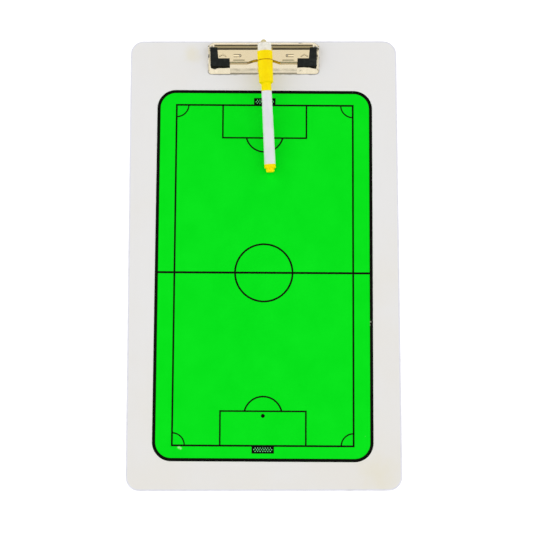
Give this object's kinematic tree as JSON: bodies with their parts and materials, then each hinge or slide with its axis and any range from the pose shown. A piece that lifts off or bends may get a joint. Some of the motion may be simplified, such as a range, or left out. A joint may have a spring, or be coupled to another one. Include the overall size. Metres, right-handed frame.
{
  "type": "coach's tactics clipboard",
  "caption": "White dry-erase clipboard with a printed football pitch, a sprung plated clip with black corner grips, a pull-out hanger and an eraser-capped marker resting on the clip.",
  "frame": {"origin": "middle of the board's back face, which is the surface that it lies on", "axes": "+X across the board to the right of the printed face, +Y along the board towards the clip, +Z out of the printed face"},
  "size_m": [0.24, 0.4014, 0.0253],
  "materials": {
    "hardboard": "pressed fibre, unfinished",
    "white_laminate": "gloss dry-erase sheet",
    "white_banding": "satin moulded band",
    "green_ink": "screen-printed, satin",
    "black_ink": "screen-printed, satin",
    "nickel_plate": "bright nickel plate",
    "rivet_steel": "plated",
    "rod_steel": "drawn",
    "spring_steel": "drawn wire",
    "black_plastic": "fine matte grain",
    "white_plastic": "moulded, satin gloss",
    "yellow_plastic": "moulded, satin gloss",
    "nib_fibre": "bonded fibre soaked in ink",
    "felt": "pressed wool felt",
    "ferrite": "sintered"
  },
  "bodies": {
    "board": {"board_core": "hardboard", "front_sheet": "white_laminate", "rear_sheet": "white_laminate", "edge_band": "white_banding", "pitch_print": "green_ink", "line_print": "black_ink", "clip_base": "nickel_plate", "rivets": "rivet_steel", "hinge_rod": "rod_steel", "torsion_spring": "spring_steel"},
    "lever": {"clip_lever": "nickel_plate", "corner_grip_left": "black_plastic", "corner_grip_right": "black_plastic"},
    "hanger": {"hanger": "nickel_plate"},
    "marker": {"marker_barrel": "white_plastic", "end_plug": "yellow_plastic", "marker_nose": "white_plastic", "marker_nib": "nib_fibre", "ink_reservoir": "nib_fibre"},
    "cap": {"marker_cap": "yellow_plastic", "eraser_holder": "yellow_plastic", "felt_eraser": "felt", "cap_magnet": "ferrite"}
  },
  "joints": [
    {"name": "lever_hinge", "type": "hinge", "parent": "board", "child": "lever", "pos_m": [0, 0.1921, 0.0093], "axis": [-1, 0, 0], "range_deg": [0, 30], "stiffness_Nm_per_rad": 0.15, "springref_deg": -68.75, "deforming": ["torsion_spring"]},
    {"name": "marker_lift", "type": "slide", "parent": "lever", "child": "marker", "axis": [0, 0, 1], "range_m": [0, 0.04]},
    {"name": "cap_pull", "type": "slide", "parent": "marker", "child": "cap", "axis": [-0.0452, 0.995, 0.0887], "range_m": [0, 0.022]},
    {"name": "hanger_slide", "type": "slide", "parent": "board", "child": "hanger", "axis": [0, 1, 0], "range_m": [0, 0.01]}
  ]
}
